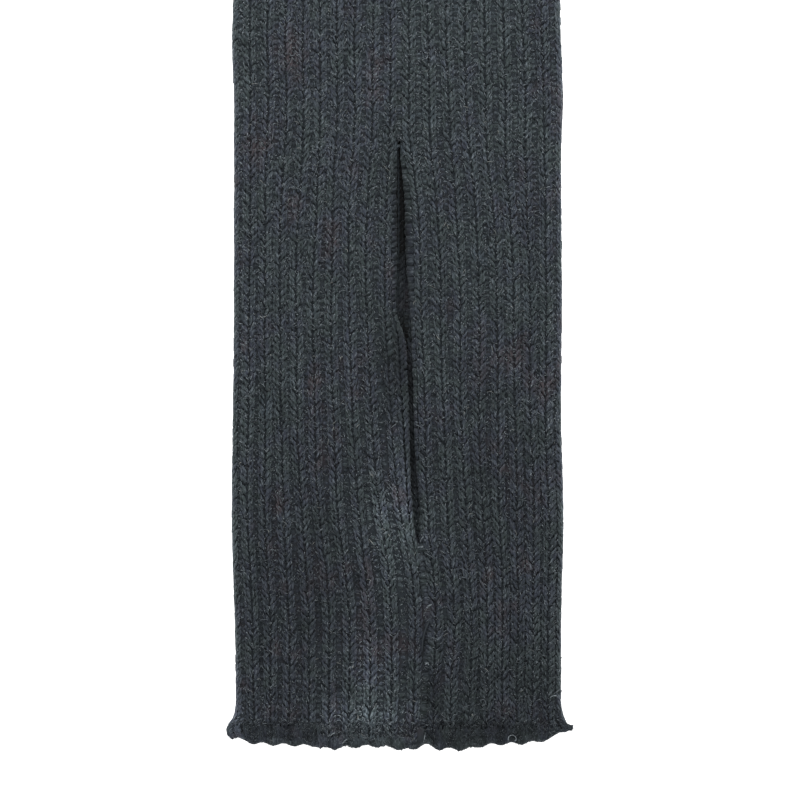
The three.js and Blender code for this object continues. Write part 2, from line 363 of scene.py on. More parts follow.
left_side = curve_of(SIDES, "up", "left")
right_side = curve_of(SIDES, "up", "right")
hem_line = curve_of(HEM_EDGE, "across", "up")
frill_inside = curve_of(FRILL, "share", "inside")
frill_layer = curve_of(FRILL, "share", "layer")
frill_raised = curve_of(FRILL, "share", "raised")
lip_rolled = curve_of(LIP_ROLL, "inward", "down")
groove_relief = curve_of(RELIEF, "up", "height")
groove_shade = curve_of(GROOVE_SHADE, "up", "share")
flare_left = curve_of(FLARE, "along", "left")
flare_right = curve_of(FLARE, "along", "right")

LEFT_HALF = dict(
    out=-1,
    ribs=RIBS_LEFT,
    side=left_side,
    lip=curve_of(LIPS, "up", "left"),
    start=curve_of(RIB_STARTS, "up", "left"),
    reach=curve_of(LIP_REACH, "up", "left"),
    curls=True,
    sink=SINK_LEFT,
)
RIGHT_HALF = dict(
    out=1,
    ribs=RIBS_RIGHT,
    side=right_side,
    lip=curve_of(LIPS, "up", "right"),
    start=curve_of(RIB_STARTS, "up", "right"),
    reach=curve_of(LIP_REACH, "up", "right"),
    curls=False,
    sink=SINK_RIGHT,
)


def quarter(width, height):
    """About how long a quarter of an ellipse is."""
    return math.pi / 2 * np.sqrt((width**2 + height**2) / 2)


def fold_height(share):
    """The height of the sides' outermost line, half way up the two layers."""
    return (frill_inside(share) + LAYER_GAP + frill_layer(share)) / 2


def calf_line(half, count, up, share):
    """Across and height of the rib crowns on a calf half, count ribs away from its lip."""
    out, ribs = half["out"], half["ribs"]
    lip, side, start = half["lip"](up), half["side"](up), half["start"](up)
    crowding = CROWDED * (1 - ease(up, CROWDED_BELOW, EVEN_ABOVE))
    width = np.abs(side - start)
    arc = quarter(FOLD_RADIUS, fold_height(share))
    level = width - FOLD_RADIUS

    def along(counted):
        part = counted / ribs
        return width * (part + part * (1 - part) * crowding)

    last = along(ribs - 1)
    walked = np.where(
        count > ribs - 1,
        last + (count - ribs + 1) * (level + arc - last),
        along(np.clip(count, 0, ribs)),
    )
    turn = np.clip((walked - level) / arc, 0, 1) * math.pi / 2
    reached = np.where(walked < level, walked, level + FOLD_RADIUS * np.sin(turn))
    from_lip = out * (start - lip) + reached
    from_lip = np.maximum(from_lip, LIP_CLEAR + count * LIP_STEP)
    first = np.maximum(out * (start - lip) + along(CROWN), LIP_CLEAR + CROWN * LIP_STEP)
    from_lip = np.where(count < CROWN, first * np.clip(count, 0, CROWN) / CROWN, from_lip)
    across = lip + out * from_lip
    inner = frill_inside(share) + LAYER_GAP
    inner = inner + share * SCALLOP_WAVE * (1 + np.sin(2 * math.pi * across / SCALLOP_LENGTH))
    if half["curls"]:
        inner = inner + raised(across, up, share) + swell(across, up)
    sink = half["sink"]
    sunk = sink["depth"] * bell(from_lip, sink["reach_across"])
    sunk = sunk * bell(up - sink["up"], sink["reach_up"])
    roll = np.where(up > SLIT_END, ROLL_IN_SLIT, ROLL_IN_SEAM)
    roll = np.where(up > SLIT_APEX, ROLL_ABOVE, roll)
    roll = roll * lip_rolled(from_lip) * (1 - ROLL_LOST_IN_FRILL * share)
    top = inner + frill_layer(share) - sunk - roll
    middle = fold_height(share)
    height = middle + (top - middle) * np.cos(turn)
    # Past the lip the line goes down, and where the lip is rolled, further into the slit
    past = np.clip(-count, 0, 1) * first / CROWN
    across = across - out * half["reach"](up) * (1 - np.exp(-past))
    return across, height - past


def raised(across, up, share):
    """The stretch of the hem left of the seam that curls up, and its start up the tube."""
    sharpness = np.minimum(1, share / RAISED_SHARP_FROM)
    edge = RAISED_RAMP / 2 + (RAISED_EDGE - RAISED_RAMP / 2) * sharpness
    ramp = RAISED_BEFORE * ease(-up, -RAISED_RAMP, 0)
    return ease(across, RAISED_FROM - edge, RAISED_FROM + edge) * (ramp + frill_raised(share))


def swell(across, up):
    beside = bell(across - SWELL["across"], SWELL["reach_across"])
    return SWELL["height"] * beside * bell(up - SWELL["up"], SWELL["reach_up"])


def shin_line(count, up, share):
    """Across and height of the outside of the shin side, count ribs after the left fold."""
    left, right = left_side(up), right_side(up)
    middle = fold_height(share)
    arc = quarter(FOLD_RADIUS, middle)
    whole = right - left - 2 * FOLD_RADIUS + 2 * arc
    walked = np.clip(count / RIBS_SHIN, 0, 1) * whole
    nearest = np.minimum(walked, whole - walked)
    turn = np.clip(nearest / arc, 0, 1) * math.pi / 2
    inward = np.where(nearest < arc, FOLD_RADIUS * (1 - np.cos(turn)), FOLD_RADIUS + nearest - arc)
    across = np.where(walked < whole / 2, left + inward, right - inward)
    return across, middle * (1 - np.sin(turn))


def envelope(turn, along):
    """The smooth form that the rib crowns touch, as points in the frame.

    turn counts ribs round the tube from the left lip, and along runs up the tube. Where
    turn or along leaves the cloth, the form bends over its edge towards the inside, but
    in the back seam turn goes on round the tube.
    """
    turn, along = np.broadcast_arrays(np.asarray(turn, float), np.asarray(along, float))
    sewn = (along < SLIT_END) | (along > SLIT_APEX)
    turn = np.where(sewn, turn % RIBS, turn)
    share = np.clip((HEM_START - along) / (HEM_START + HEM_DEPTH), 0, 1)
    up = np.clip(along, 0, KNEE_END)
    left_across, left_height = calf_line(LEFT_HALF, turn, up, share)
    right_across, right_height = calf_line(RIGHT_HALF, RIBS - turn, up, share)
    shin_across, shin_height = shin_line(turn - RIBS_LEFT, up, share)
    on_left = turn <= RIBS_LEFT
    on_right = turn >= RIBS - RIBS_RIGHT
    across = np.where(on_left, left_across, np.where(on_right, right_across, shin_across))
    height = np.where(on_left, left_height, np.where(on_right, right_height, shin_height))
    scallop = SCALLOP_DEPTH * np.cos(2 * math.pi * across / SCALLOP_LENGTH)
    edge = hem_line(across) - scallop
    lengthwise = np.where(share > 0, HEM_START + (edge - HEM_START) * share, up)
    end = ease(np.abs(across), FLARE_FROM, FLARE_TO)
    across = across + end * np.where(across < 0, -flare_left(along), flare_right(along))
    lengthwise = lengthwise + np.where(across < 0, TIP_RISE_LEFT, TIP_RISE_RIGHT) * end * share
    past = np.maximum(0, along - KNEE_END) + np.maximum(0, -HEM_DEPTH - along)
    towards = np.where(height > fold_height(share), -1, 1)
    height = height + towards * past
    return np.stack([across - ACROSS_MIDDLE, lengthwise - UP_MIDDLE, height], axis=-1)


def outward(turn, along):
    """The direction straight out of the cloth."""
    round_step, up_step = 0.02, 0.2
    across = envelope(turn + round_step, along) - envelope(turn - round_step, along)
    upward = envelope(turn, along + up_step) - envelope(turn, along - up_step)
    normal = np.cross(upward, across)
    length = np.linalg.norm(normal, axis=-1, keepdims=True)
    return normal / np.maximum(length, NEARLY_ZERO)


def on_cloth(turn, along, height):
    return envelope(turn, along) + outward(turn, along) * np.asarray(height)[..., None]


def rib_pitch(turn, along):
    """Millimetres from one rib to the next, round the tube."""
    step = 0.1
    chord = envelope(turn + step, along) - envelope(turn - step, along)
    return np.linalg.norm(chord, axis=-1) / (2 * step)


# Meshes

STREAK_SHIFT = 7.3
# How blunt the ends of a length of yarn are, and how unevenly it is spun, in millimetres
YARN_BLUNTNESS = 0.7
YARN_LUMPS = 0.08


def deselect():
    bpy.ops.object.select_all(action="DESELECT")


def take_active(name):
    """The primitive that was just added, under its name, with its points as an array."""
    piece = bpy.context.object
    piece.name = piece.data.name = name
    points = np.zeros(len(piece.data.vertices) * 3)
    piece.data.vertices.foreach_get("co", points)
    return piece, points.reshape(-1, 3)


def faces_in_order(mesh):
    """The corner points of each face and the loops that they come from.

    Blender may list a primitive's faces in another order on the next run, so they are
    sorted by their points.
    """
    faces = [(list(face.vertices), list(face.loop_indices)) for face in mesh.polygons]
    corners, loops = zip(*sorted(faces))
    sizes = np.array([len(each) for each in corners])
    return sizes, np.concatenate(corners), np.concatenate(loops)


def yarn_length(segments, rings, turned=0):
    """One short length of yarn to copy: where its points lie along and round it, and its faces.

    turned is how far it is turned about its own length, so that a flat side lies on top.
    """
    deselect()
    bpy.ops.mesh.primitive_uv_sphere_add(segments=segments, ring_count=rings, radius=1)
    ball, points = take_active("yarn_length")
    sizes, corners, loops = faces_in_order(ball.data)
    uv = np.zeros(len(corners) * 2)
    ball.data.uv_layers.active.data.foreach_get("uv", uv)
    bpy.data.objects.remove(ball)
    x, y = points[:, 0].copy(), points[:, 1].copy()
    points[:, 0] = x * math.cos(turned) - y * math.sin(turned)
    points[:, 1] = x * math.sin(turned) + y * math.cos(turned)
    return dict(points=points, sizes=sizes, corners=corners, uv=uv.reshape(-1, 2)[loops])


def hair_template():
    """A short straight hair to copy: a long three-sided cone."""
    deselect()
    bpy.ops.mesh.primitive_cone_add(vertices=3, radius1=1, depth=2, end_fill_type="NGON")
    cone, points = take_active("hair")
    sizes, corners, _ = faces_in_order(cone.data)
    bpy.data.objects.remove(cone)
    return dict(points=points, sizes=sizes, corners=corners, uv=np.zeros((len(corners), 2)))


def copies(name, length, points, tones, shades):
    """One mesh of many lengths of yarn, whose points are an array of copies by points."""
    count, each = points.shape[:2]
    mesh = bpy.data.meshes.new(name)
    mesh.vertices.add(count * each)
    mesh.vertices.foreach_set("co", (above_floor(points) * MM).ravel())
    corners = (length["corners"][None] + each * np.arange(count)[:, None]).ravel()
    sizes = np.tile(length["sizes"], count)
    mesh.loops.add(len(corners))
    mesh.loops.foreach_set("vertex_index", corners)
    mesh.polygons.add(len(sizes))
    mesh.polygons.foreach_set("loop_start", np.concatenate([[0], np.cumsum(sizes)[:-1]]))
    mesh.polygons.foreach_set("use_smooth", np.ones(len(sizes), bool))
    # Each copy takes its streaks from another part of the pattern
    uv = np.tile(length["uv"], (count, 1, 1))
    uv += STREAK_SHIFT * tones[:, None, None]
    layer = mesh.uv_layers.new(name="yarn")
    layer.data.foreach_set("uv", uv.ravel())
    for attribute, values in (("tone", tones), ("shade", shades)):
        values = np.broadcast_to(np.reshape(values, (count, -1)), (count, each))
        stored = mesh.attributes.new(attribute, "FLOAT", "POINT")
        stored.data.foreach_set("value", np.ascontiguousarray(values).ravel())
    mesh.update(calc_edges=True)
    mesh.validate()
    piece = bpy.data.objects.new(name, mesh)
    bpy.context.scene.collection.objects.link(piece)
    return piece


def above_floor(points):
    """What would sink into the floor is pressed flat on it."""
    return np.maximum(points, (-np.inf, -np.inf, 0))


def bent_lengths(length, turn, along, path, size, bluntness=YARN_BLUNTNESS, lumps=YARN_LUMPS):
    """Points of many lengths of yarn laid on the cloth.

    turn and along are each one's place, and size is its half width and half height. path
    gives, for the share t of its length, how far it goes aside and up the tube, and how
    high over the rib crowns it lies.
    """
    half_width, half_height = (part[:, None] for part in size)
    t = (1 - length["points"][:, 2]) / 2
    radius = np.hypot(length["points"][:, 0], length["points"][:, 1])
    radius = np.maximum(radius, NEARLY_CENTRAL)
    full = radius**bluntness
    beside = length["points"][:, 0] / radius * full
    above = length["points"][:, 1] / radius * full
    aside, up, high = path(t)
    step = 0.01
    after, before = path(t + step), path(t - step)
    lean = np.arctan2(after[0] - before[0], after[1] - before[1])
    aside = aside + beside * half_width * np.cos(lean)
    up = up - beside * half_width * np.sin(lean)
    high = high + above * half_height
    shape = (len(turn), len(t))
    aside, up, high = (part + RANDOM.normal(0, lumps, shape) for part in (aside, up, high))
    pitch = rib_pitch(turn, along)[:, None]
    return on_cloth(turn[:, None] + aside / pitch, along[:, None] + up, high)


# The cloth under the stitches

CLOTH_THICKNESS = 0.8
CROWN_SINK = 0.85
GROOVE_UNDER_PURLS = 0.24
COLUMNS_PER_RIB = 4
LIP_DEPTH = 1.2
LIP_EDGE = 0.004
# The ribs fade out over the crease above the frill, this far past each side of it
RIB_FADE = 1.5
# The rows of the ground's grid are close in the frill, and widest above the slit
FRILL_ROWS = 10
SLIT_ROW_STEP = 3.6
ROWS_ABOVE_SLIT = 45
CLOTH_ROWS = np.concatenate(
    [
        np.linspace(-HEM_DEPTH, HEM_START, FRILL_ROWS),
        np.arange(HEM_START + 2, SLIT_APEX + 10, SLIT_ROW_STEP),
        np.linspace(SLIT_APEX + 13, KNEE_END, ROWS_ABOVE_SLIT),
    ]
)


def groove(turn):
    """0 on a rib's crown and 1 in the groove beside it."""
    return (1 + np.cos(2 * math.pi * turn)) / 2


def cloth_depth(turn, along):
    """How far under the crowns of the ribs the ground of the cloth lies."""
    ribbed = ease(along, -RIB_FADE, HEM_START + RIB_FADE)
    groove_sink = GROOVE_UNDER_PURLS + groove_relief(along)
    return CROWN_SINK + (groove_sink - CROWN_SINK) * groove(turn) * ribbed


def tube_cloth():
    """The ground of the whole tube: one thin shell, open at its two ends and at the slit."""
    columns = RIBS * COLUMNS_PER_RIB + 2
    rows = len(CLOTH_ROWS) - 1
    deselect()
    bpy.ops.mesh.primitive_grid_add(x_subdivisions=columns, y_subdivisions=rows, size=2)
    cloth, flat = take_active("tube_cloth")
    place = (flat[:, 0] + 1) / 2 * columns
    # The first and the last column turn down at the two lips
    turn = np.interp(place, [1, columns - 1], [LIP_EDGE, RIBS - LIP_EDGE])
    turned_down = np.maximum(1 - place, place - columns + 1).clip(0)
    along = CLOTH_ROWS[np.rint((flat[:, 1] + 1) / 2 * rows).astype(int)]
    depth = cloth_depth(turn, along) + LIP_DEPTH * turned_down
    points = on_cloth(turn, along, -depth)
    cloth.data.vertices.foreach_set("co", (above_floor(points) * MM).ravel())
    cloth.data.update()
    facing = np.zeros(len(turn) * 3)
    cloth.data.vertices.foreach_get("normal", facing)
    if np.sum(facing.reshape(-1, 3) * outward(turn, along)) < 0:
        cloth.data.flip_normals()
    wall = cloth.modifiers.new("wall", "SOLIDIFY")
    wall.thickness = CLOTH_THICKNESS * MM
    wall.offset = -1
    bpy.ops.object.modifier_apply(modifier="wall")
    bpy.ops.object.shade_smooth()
    points = np.zeros(len(cloth.data.vertices) * 3)
    cloth.data.vertices.foreach_get("co", points)
    cloth.data.vertices.foreach_set("co", above_floor(points.reshape(-1, 3)).ravel())
    return cloth


# Stitches


def courses(low, high):
    return np.arange(low, high, COURSE)


def every_course(turns, low, high):
    """The turn and the along of each stitch in these columns, as two flat arrays."""
    turn, along = np.meshgrid(turns, courses(low, high))
    return turn.ravel(), along.ravel()


def jitter(count, size):
    return RANDOM.normal(0, size, count)


def varied(count, size, share=0.1):
    """The size of each of many stitches, which differ by about this share of it."""
    return size * (1 + jitter(count, share))


# Each leg of a stitch is two strands of yarn, the second nearer to the groove. A strand
# starts beside the middle of its wale and leans outwards as it goes up
CALF_STRANDS = table(
    "start end low reach half_width groove_share",
    (0.32, 1.35, -0.75, 3, 0.64, 0),
    (1.4, 2.15, 0.2, 2.8, 0.5, 0.3),
)
# A leg on the shin side is one thicker strand
SHIN_STRANDS = table(
    "start end low reach half_width groove_share",
    (0.3, 2.3, -0.75, 3, 0.78, 0.3),
)
LEG_THICKNESS = 0.32
LEG_SINK = -0.3
# How much lower a strand lies towards the groove, for each square millimetre
LEG_FALL = 0.1
# How unevenly the legs lie, in millimetres, and how their tones differ
WALE_STRAY = 0.06
COURSE_STRAY = 0.1
STITCH_STRAY = 0.25
LEG_SWING = 0.08
LEG_LIFT = 0.06
MIDDLE_TONE = 0.5
STITCH_TONE = 0.16
STRAND_TONE = 0.18
# The courses rise and fall a little round the tube
COURSE_WAVE = 0.35
COURSE_WAVE_RIBS = 3.1


def wander(turn, along):
    """How far a wale strays to the side, in millimetres."""
    waves = zip(*WANDER_WAVES.values())
    return sum(size * np.sin(along / length + by_rib * turn) for size, by_rib, length in waves)


def knit_wales(name, length, turn, along, strands=CALF_STRANDS, inside=0, shade=0, spread=1):
    """Columns of V-shaped stitches.

    With inside, they lie that far within the cloth and face the inside of the tube.
    """
    count = len(turn)
    strays = wander(turn, along) + jitter(count, WALE_STRAY)
    turn = turn + strays / rib_pitch(turn, along)
    along = along + COURSE_WAVE * np.sin(turn / COURSE_WAVE_RIBS) + jitter(count, COURSE_STRAY)
    tone = MIDDLE_TONE + jitter(count, STITCH_TONE)
    lost = shade + light_lost(turn, along)
    facing = -1 if inside else 1
    parts, tones, shades = [], [], []
    for hand in (-1, 1):
        for start, end, low, reach, half_width, groove_share in zip(*strands.values()):
            swing = jitter(count, LEG_SWING)[:, None]
            lift = jitter(count, LEG_LIFT)[:, None]

            def path(t):
                aside = spread * (start + (end - start + swing) * t)
                high = LEG_SINK + lift - LEG_FALL * aside**2
                return hand * aside, low + reach * t, facing * high - inside

            size = varied(count, half_width), varied(count, LEG_THICKNESS)
            place = along + jitter(count, STITCH_STRAY)
            parts.append(bent_lengths(length, turn, place, path, size))
            tones.append(np.clip(tone + jitter(count, STRAND_TONE), 0, 1))
            shades.append(lost + groove_share * groove_shade(along))
    parts, tones, shades = (np.concatenate(rows) for rows in (parts, tones, shades))
    return copies(name, length, parts, tones, shades)


PURL_LOW = HEM_START - 3
PURL_SHARE = 0.36
PURL_WIDTH = 1.25
PURL_THICKNESS = 0.18
PURL_BOW = 0.3
PURL_DEPTH = 0.15
PURL_FALL = 0.3
PURL_TONE = 0.2
# How far the seam's bars keep from the slit's ends
SEAM_CLEAR = 1
# How unevenly the bars lie, in millimetres
PURL_STRAY = 0.2
PURL_BOW_STRAY = 0.2
PURL_TILT_STRAY = 0.15
PURL_DEPTH_STRAY = 0.05


def groove_purls(name, length, turn, along, inside=0, shade=0):
    """The bars of the purl stitches, in the grooves between the knit wales."""
    count = len(turn)
    along = along + jitter(count, PURL_STRAY)
    reach = (PURL_SHARE * rib_pitch(turn, along))[:, None]
    bow = (PURL_BOW + jitter(count, PURL_BOW_STRAY))[:, None]
    tilt = jitter(count, PURL_TILT_STRAY)[:, None]
    floor = -groove_relief(along) - PURL_DEPTH + jitter(count, PURL_DEPTH_STRAY)
    floor = floor[:, None]
    facing = -1 if inside else 1

    def path(t):
        aside = (t - 0.5) * reach
        up = bow * np.sin(math.pi * t) + tilt * aside
        return aside, up, facing * (floor - PURL_FALL * (2 * t - 1) ** 2) - inside

    size = varied(count, PURL_WIDTH, share=0.12), varied(count, PURL_THICKNESS)
    points = bent_lengths(length, turn, along, path, size)
    tones = MIDDLE_TONE + jitter(count, PURL_TONE)
    shades = shade + groove_shade(along) + light_lost(turn, along)
    return copies(name, length, points, tones, shades)


def calf_purl_places():
    """The grooves of the calf side, and the back seam where it is closed."""
    left_grooves = range(1, math.ceil(RIBS_LEFT))
    right_grooves = range(RIBS - int(RIBS_RIGHT), RIBS)
    calf_turns = [*left_grooves, *right_grooves]
    turn, along = every_course(calf_turns, PURL_LOW, KNEE_END)
    # The seam's groove is deep, so its bars stand closer
    seam_along = np.arange(PURL_LOW, KNEE_END, COURSE / 2)
    below = seam_along < SLIT_END - SEAM_CLEAR
    above = seam_along > SLIT_APEX + SEAM_CLEAR
    seam_along = seam_along[below | above]
    return (
        np.concatenate([turn, np.zeros(len(seam_along))]),
        np.concatenate([along, seam_along]),
    )


# How much light the lip's edge loses, by how far past the lip it lies
LIP_SHADE = table(
    "past share",
    (-1.5, 0.15),
    (-0.5, 0.25),
    (0.3, 0.35),
    (1, 0.55),
    (2.2, 0.95),
)
LIP_LOOP_FROM = 1.3
LIP_LOOP_REACH = 3.9
LIP_LOOP_WIDTH = 1.6
LIP_LOOP_THICKNESS = 0.18
LIP_LOOP_BOW = 0.15
LIP_LOOP_HIGH = -0.45
LIP_LOOP_FALL = 0.6
LIP_TONE = 0.12
# The share of the lips' painted shade that is taken off again: low down the left lip lies flat on
# the swell, and at the top the slit is shallow
LIP_LIGHT = table(
    "up left right",
    (72, 0.7, 0.4),
    (100, 0.5, 0.4),
    (128, 0.5, 0.4),
    (138, 0.3, 0.2),
    (150, 0.1, 0.1),
    (160, 0, 0),
    (170, 0.1, 0.1),
    (180, 0.45, 0.45),
    (185, 0.8, 0.8),
)
left_lip_light = curve_of(LIP_LIGHT, "up", "left")
right_lip_light = curve_of(LIP_LIGHT, "up", "right")


def lip_loops(name, length):
    """The slit's two lips: one loop round the edge for each course."""
    turn, along = every_course([0, RIBS], SLIT_END, SLIT_APEX)
    inward = np.where(turn < RIBS / 2, 1, -1)
    count = len(turn)

    def path(t):
        aside = inward[:, None] * (LIP_LOOP_FROM - LIP_LOOP_REACH * t)
        up = LIP_LOOP_BOW * np.sin(3 * aside)
        return aside, up, LIP_LOOP_HIGH - LIP_LOOP_FALL * (1 - t) ** 2

    place = along + jitter(count, STITCH_STRAY)
    width = varied(count, LIP_LOOP_WIDTH, share=0.12)
    size = width, varied(count, LIP_LOOP_THICKNESS, share=0.08)
    points = bent_lengths(length, turn + inward * LIP_EDGE, place, path, size)
    past = -inward[:, None] * path((1 - length["points"][:, 2]) / 2)[0]
    keeps = np.where(turn < RIBS / 2, left_lip_light(along), right_lip_light(along))
    shades = curve_of(LIP_SHADE, "past", "share")(past) * (1 - keeps)[:, None]
    tones = MIDDLE_TONE + jitter(count, LIP_TONE)
    return copies(name, length, points, tones, shades)


LOOPS_PER_RIB = 4
EDGE_LOOP_FROM = 3
EDGE_LOOP_REACH = 3.9
EDGE_LOOP_HIGH = -0.4
EDGE_LOOP_WIDTH = 0.95
EDGE_LOOP_THICKNESS = 0.55
EDGE_LOOP_BLUNTNESS = 0.6
# In ribs
EDGE_LOOP_STRAY = 0.04
EDGE_WAVES = table("size by_rib start", (0.35, 1.9, 0), (0.3, 4.3, 1))


def edge_loops(name, length, edge, inward):
    """The loops over one end of the tube, on both layers.

    edge is where the end lies along the tube, and inward is 1 where the tube goes up from
    there, or -1.
    """
    count = LOOPS_PER_RIB * RIBS
    turn = np.arange(0.5, count) / LOOPS_PER_RIB + jitter(count, EDGE_LOOP_STRAY)
    waves = zip(*EDGE_WAVES.values())
    waves = sum(size * np.sin(by_rib * turn + start) for size, by_rib, start in waves)
    along = edge + waves + jitter(count, STITCH_STRAY)

    def path(t):
        return 0, inward * (EDGE_LOOP_FROM - EDGE_LOOP_REACH * t), EDGE_LOOP_HIGH

    width = varied(count, EDGE_LOOP_WIDTH, share=0.15)
    size = width, varied(count, EDGE_LOOP_THICKNESS, share=0.15)
    points = bent_lengths(length, turn, along, path, size, EDGE_LOOP_BLUNTNESS)
    return copies(name, length, points, RANDOM.random(count), light_lost(turn, along))


FOLD_YARN_REACH = 4.4
FOLD_YARN_HIGH = -0.42
FOLD_YARN_WIDTH = 1.1
FOLD_YARN_THICKNESS = 0.6
FOLD_YARN_STRAY = 0.05
FOLD_YARN_SLANT = 0.1
# Painted light: the folds' yarn is painted this much lighter than the ribs beside them
FOLD_LIGHT = 0.2
SMOOTH_LUMPS = 0.05


def fold_yarns(name, length):
    """Yarn that runs up the tube along its two folds, and closes their line from above."""
    at = np.arange(HEM_START, KNEE_END - 2, COURSE / 2)
    along = np.concatenate([at, at])
    turn = np.repeat([RIBS_LEFT, RIBS - RIBS_RIGHT], len(at))
    count = len(turn)
    turn = turn + jitter(count, FOLD_YARN_STRAY)
    slant = jitter(count, FOLD_YARN_SLANT)[:, None]

    def path(t):
        return slant * (t - 0.5), FOLD_YARN_REACH * (t - 0.5), FOLD_YARN_HIGH

    size = varied(count, FOLD_YARN_WIDTH), varied(count, FOLD_YARN_THICKNESS)
    points = bent_lengths(length, turn, along, path, size, lumps=SMOOTH_LUMPS)
    lost = light_lost(turn, along) - FOLD_LIGHT
    return copies(name, length, points, RANDOM.random(count), lost)


# Fibre ends keep off the folds and off the slit's lips, by these shares of a rib
OFF_FOLDS = 0.2
OFF_LIPS = 0.05
BESIDE_LIP = 0.3


def calf_places(count, low=-HEM_DEPTH + 1, high=KNEE_END - 1):
    """Places for fibre ends, all over the calf side."""
    turn = RANDOM.uniform(-(RIBS_RIGHT - OFF_FOLDS), RIBS_LEFT - OFF_FOLDS, count)
    along = RANDOM.uniform(low, high, count)
    closed = (along < SLIT_END) | (along > SLIT_APEX)
    free = closed | (np.abs(turn) > OFF_LIPS)
    return np.where(free, turn % RIBS, BESIDE_LIP), along


TURNS_TRIED = 400


def turn_at(across, along):
    """The rib that lies at this place across the calf side."""
    tried = np.linspace(-RIBS_RIGHT, RIBS_LEFT, TURNS_TRIED)
    lying = envelope(tried % RIBS, along)[:, 0] + ACROSS_MIDDLE
    return np.interp(across, lying[::-1], tried[::-1]) % RIBS


def curled(heading, bend, size, t):
    """How far aside and up the tube a fibre has gone that bends evenly from its heading."""
    turned = heading + bend * t
    aside = size * (np.cos(heading) - np.cos(turned)) / bend
    up = size * (np.sin(turned) - np.sin(heading)) / bend
    return aside, up


TAIL_HIGH = 0.15
TAIL_ARCH = 0.2
TAIL_BLUNTNESS = 0.3


def loose_ends(name, length):
    """The yarn tails and curled pale fibres that stand out in their places."""
    places = zip(LOOSE_ENDS["across"], LOOSE_ENDS["up"])
    turn = np.array([turn_at(*place) for place in places])
    along = LOOSE_ENDS["up"]
    heading, bend, size = (LOOSE_ENDS[key][:, None] for key in ("heading", "bend", "size"))

    def path(t):
        aside, up = curled(heading, bend, size, t)
        return -aside, up, TAIL_HIGH + TAIL_ARCH * np.sin(3 * t)

    width = LOOSE_ENDS["half_width"]
    points = bent_lengths(
        length, turn, along, path, (width, width), TAIL_BLUNTNESS, SMOOTH_LUMPS
    )
    return copies(name, length, points, LOOSE_ENDS["tone"], np.zeros(len(turn)))


# Fibres lean as the legs of the stitches do, apart from the share that lies anyhow
FIBRE_LEAN = 0.6
FIBRE_LEAN_STRAY = 0.4
FOLLOW_SHARE = 0.75
ANY_HEADING = 3.2
STRAIGHT = 0.001
FIBRE_HIGH = 0.05
FIBRE_ARCH = 2.2
# The thinnest and the thickest, as shares of the usual width
FIBRE_WIDTHS = (0.7, 1.3)
# How far a fibre lies down into the groove, and the share of the groove's shade that it takes
GROOVE_REACH = 0.9
GROOVE_DIM = 0.8


def fuzz(name, length, places, sizes, half_width, bend, lift, inside=0, shade=0):
    """Loose fibre ends. Most of them follow the legs of the stitches, half of them each way."""
    turn, along = places
    count = len(turn)
    each_way = RANDOM.choice([-1, 1], count)
    follows = each_way * (FIBRE_LEAN + jitter(count, FIBRE_LEAN_STRAY))
    does_follow = RANDOM.random(count) < FOLLOW_SHARE
    anyhow = RANDOM.uniform(-ANY_HEADING, ANY_HEADING, count)
    heading = np.where(does_follow, follows, anyhow)[:, None]
    bend = (STRAIGHT + jitter(count, bend))[:, None]
    size = RANDOM.triangular(sizes[0], sizes[0], sizes[1], count)[:, None]
    lift = np.abs(jitter(count, lift))[:, None]
    in_groove = groove(turn) if not inside else 1 - groove(turn)
    ground = (-groove_relief(along) * in_groove)[:, None]
    facing = -1 if inside else 1

    def path(t):
        aside, up = curled(heading, bend, size, t)
        high = GROOVE_REACH * ground + FIBRE_HIGH + lift * np.sin(FIBRE_ARCH * t)
        return aside, up, facing * high - inside

    width = half_width * RANDOM.uniform(*FIBRE_WIDTHS, count)
    points = bent_lengths(length, turn, along, path, (width, width), bluntness=1, lumps=0)
    lost = shade + light_lost(turn, along) + GROOVE_DIM * groove_shade(along) * in_groove
    return copies(name, length, points, RANDOM.random(count), lost)


# Materials

WOOL_TONES = ((0.28, "#463f42"), (0.43, "#393e49"), (0.57, "#3a4343"), (0.74, "#3e474e"))
# The ground under the stitches: darker tones of the same wool, as painted shade between the
# stitches
SHADED_GROUND_TONES = ((0.3, "#353237"), (0.5, "#30363b"), (0.7, "#31383c"))
# How long a dyed patch is, in millimetres, before finer ones are laid over it
PATCH_LENGTH = 12
# A mix node's colour sockets share their names with others, so they go by number
MIX_FACTOR = 0
MIX_FIRST = 6
MIX_SECOND = 7
MIXED_COLOUR = 2


def to_linear(hex_colour):
    """An sRGB hex colour as the linear values that a shader takes."""
    channels = [int(hex_colour[i : i + 2], 16) / 255 for i in (1, 3, 5)]
    linear = [c / 12.92 if c <= 0.04045 else ((c + 0.055) / 1.055) ** 2.4 for c in channels]
    return (*linear, 1)


def node(tree, kind, settings=None, **links):
    """Adds a node with its settings. A link is given by its socket's name, with _ for a space."""
    added = tree.nodes.new(kind)
    for name, value in (settings or {}).items():
        if isinstance(name, int) or name in added.inputs:
            added.inputs[name].default_value = value
        else:
            setattr(added, name, value)
    for name, source in links.items():
        tree.links.new(source, added.inputs[name.replace("_", " ")])
    return added


